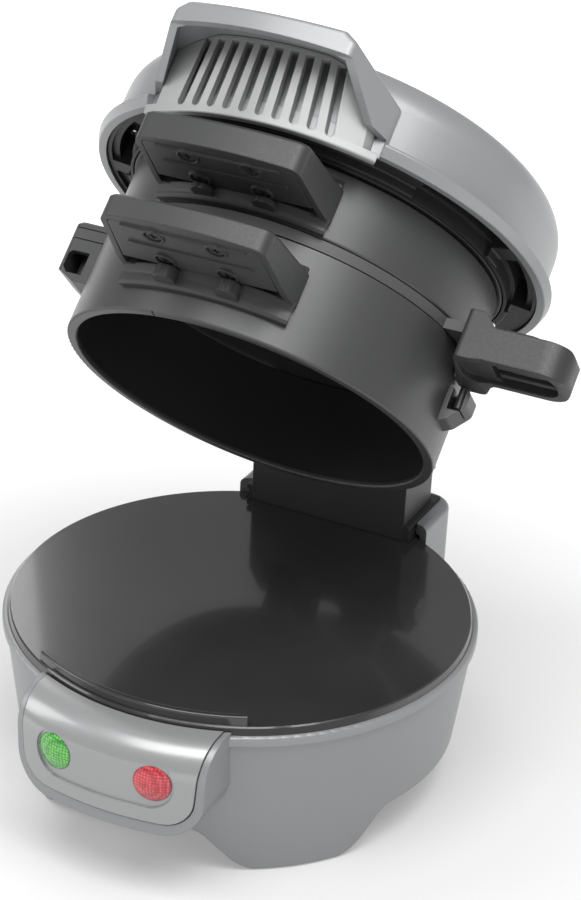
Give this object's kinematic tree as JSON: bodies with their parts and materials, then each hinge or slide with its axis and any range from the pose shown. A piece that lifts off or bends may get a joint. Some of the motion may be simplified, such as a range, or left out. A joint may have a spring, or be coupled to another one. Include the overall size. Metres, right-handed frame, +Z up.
{
  "type": "breakfast sandwich maker",
  "caption": "Round tabletop sandwich cooker: heated base, two hinged cooking rings with a swing-out plate between them, heated lid with vented front, indicator panel.",
  "frame": {"origin": "on the floor under the feet, on the vertical axis of the round base", "axes": "+Z up; the indicator panel and handles face -Y; the hinge pin runs along X at the rear (+Y); the plate handle points to +X"},
  "size_m": [0.1709, 0.1932, 0.2429],
  "materials": {
    "silver_shell": "satin silver paint on a moulded shell",
    "silver_panel": "satin pale silver paint on a moulding",
    "charcoal_mould": "matte charcoal heat-proof moulding",
    "ring_metal": "cast aluminium with a satin charcoal coating",
    "nonstick": "aluminium with a black non-stick coating",
    "plate_cast": "cast aluminium with a glossy dark non-stick coating",
    "bright_steel": "plated steel",
    "element_steel": "heater sheath",
    "shield_steel": "pressed sheet",
    "green_lens": "faceted green lens",
    "red_lens": "faceted red lens",
    "lamp_glass": "small neon lamp",
    "board": "plain board",
    "soft_black": "soft black rubber",
    "ceramic": "ceramic"
  },
  "bodies": {
    "base": {"base_housing": "silver_shell", "front_panel": "silver_panel", "ready_light_lens": "green_lens", "power_light_lens": "red_lens", "indicator_lamps": "lamp_glass", "lamp_board": "board", "lamp_board_screws": "bright_steel", "lower_heating_plate": "plate_cast", "lower_heating_element": "element_steel", "lower_heat_shield": "shield_steel", "lower_shield_nuts": "bright_steel", "lower_thermostat": "ceramic", "thermal_fuse": "ceramic", "terminal_block": "ceramic", "base_bottom_cover": "charcoal_mould", "foot_pads": "soft_black", "base_screws": "bright_steel", "tower_screws": "bright_steel", "cord_gland": "soft_black", "hinge_tower": "charcoal_mould", "tower_collar": "soft_black", "hinge_pin": "bright_steel", "hinge_pin_clip": "bright_steel"},
    "lower_ring_set": {"lower_ring": "ring_metal", "lower_ring_liner": "nonstick", "lower_ring_handle": "charcoal_mould", "lower_ring_handle_cover": "charcoal_mould", "lower_ring_handle_screws": "bright_steel", "lower_ring_mount_screws": "bright_steel"},
    "upper_ring_set": {"upper_ring": "ring_metal", "upper_ring_liner": "nonstick", "upper_ring_handle": "charcoal_mould", "upper_ring_handle_cover": "charcoal_mould", "upper_ring_handle_screws": "bright_steel", "upper_ring_mount_screws": "bright_steel", "plate_pivot_pin": "ring_metal"},
    "cooking_plate_set": {"cooking_plate": "nonstick", "plate_handle": "charcoal_mould", "plate_handle_cover": "charcoal_mould", "plate_handle_screws": "bright_steel", "plate_catch_pin": "ring_metal"},
    "lid_set": {"lid_shell": "silver_shell", "lid_handle_grille": "silver_panel", "grille_push_nuts": "bright_steel", "lid_tray": "charcoal_mould", "lid_screws": "bright_steel", "upper_heating_plate": "nonstick", "upper_heating_element": "element_steel", "upper_heat_shield": "shield_steel", "upper_shield_nuts": "bright_steel", "lid_thermostat": "ceramic", "lid_hinge_arm": "charcoal_mould", "lid_hinge_screws": "bright_steel"}
  },
  "joints": [
    {"name": "ring_hinge", "type": "hinge", "parent": "base", "child": "lower_ring_set", "pos_m": [0, 0.0775, 0.0887], "axis": [-1, 0, 0], "range_deg": [-47, 0]},
    {"name": "upper_ring_hinge", "type": "hinge", "parent": "lower_ring_set", "child": "upper_ring_set", "pos_m": [0, 0.0775, 0.0887], "axis": [-1, 0, 0], "range_deg": [0, 45]},
    {"name": "lid_hinge", "type": "hinge", "parent": "upper_ring_set", "child": "lid_set", "pos_m": [0, 0.0775, 0.0887], "axis": [-1, 0, 0], "range_deg": [0, 45]},
    {"name": "plate_pivot", "type": "hinge", "parent": "upper_ring_set", "child": "cooking_plate_set", "pos_m": [-0.0635, 0.01658, 0.15153], "axis": [0, -0.7314, -0.682], "range_deg": [0, 120]}
  ]
}
